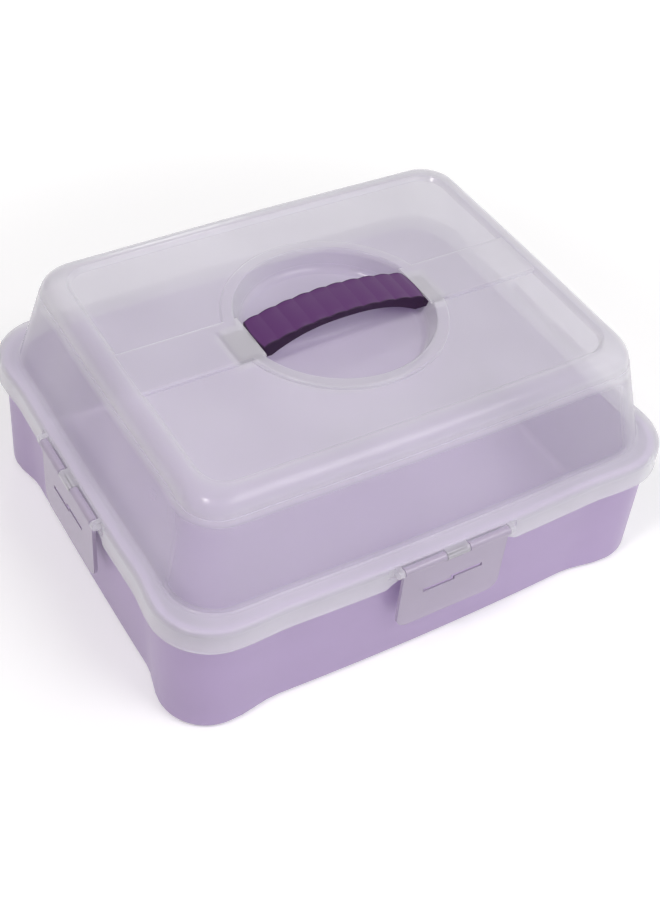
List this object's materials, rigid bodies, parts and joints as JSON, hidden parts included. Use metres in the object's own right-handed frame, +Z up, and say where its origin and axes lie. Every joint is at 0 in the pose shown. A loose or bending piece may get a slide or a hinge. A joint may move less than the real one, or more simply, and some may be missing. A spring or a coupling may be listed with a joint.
{
  "type": "cake carrier",
  "caption": "Rectangular cake carrier: deep tray, tall translucent lid hinged at the back, swing latches that hook over tray catches, and a ribbed strap handle across a round finger well.",
  "frame": {"origin": "centre of the tray's flat foot, on the surface it stands on", "axes": "+X along the long sides towards the right latch, +Y towards the back hinges, +Z up"},
  "size_m": [0.3494, 0.2983, 0.1635],
  "materials": {
    "tray_plastic": "smooth gloss, lilac",
    "lid_plastic": "frosted translucent, faintly grey",
    "strap_plastic": "satin, dark purple",
    "latch_plastic": "translucent, faint lilac",
    "pin_metal": "plain drawn rod"
  },
  "bodies": {
    "tray_body": {"tray": "tray_plastic", "hinge_pin_left": "pin_metal", "hinge_pin_right": "pin_metal"},
    "lid_body": {"lid": "lid_plastic"},
    "strap_body": {"carrying_strap": "strap_plastic"},
    "latch_front_body": {"latch_front": "latch_plastic"},
    "latch_left_body": {"latch_left": "latch_plastic"},
    "latch_right_body": {"latch_right": "latch_plastic"}
  },
  "joints": [
    {"name": "lid_hinge", "type": "hinge", "parent": "tray_body", "child": "lid_body", "pos_m": [0, 0.1472, 0.074], "axis": [-1, 0, 0], "range_deg": [0, 105]},
    {"name": "strap_lift", "type": "slide", "parent": "lid_body", "child": "strap_body", "axis": [0, 0, 1], "range_m": [0, 0.0034]},
    {"name": "latch_front_swing", "type": "hinge", "parent": "lid_body", "child": "latch_front_body", "pos_m": [0, -0.1449, 0.08703], "axis": [-1, 0, 0], "range_deg": [0, 110]},
    {"name": "latch_left_swing", "type": "hinge", "parent": "lid_body", "child": "latch_left_body", "pos_m": [-0.1719, 0, 0.08703], "axis": [0, 1, 0], "range_deg": [0, 110]},
    {"name": "latch_right_swing", "type": "hinge", "parent": "lid_body", "child": "latch_right_body", "pos_m": [0.1719, 0, 0.08703], "axis": [0, -1, 0], "range_deg": [0, 110]}
  ]
}
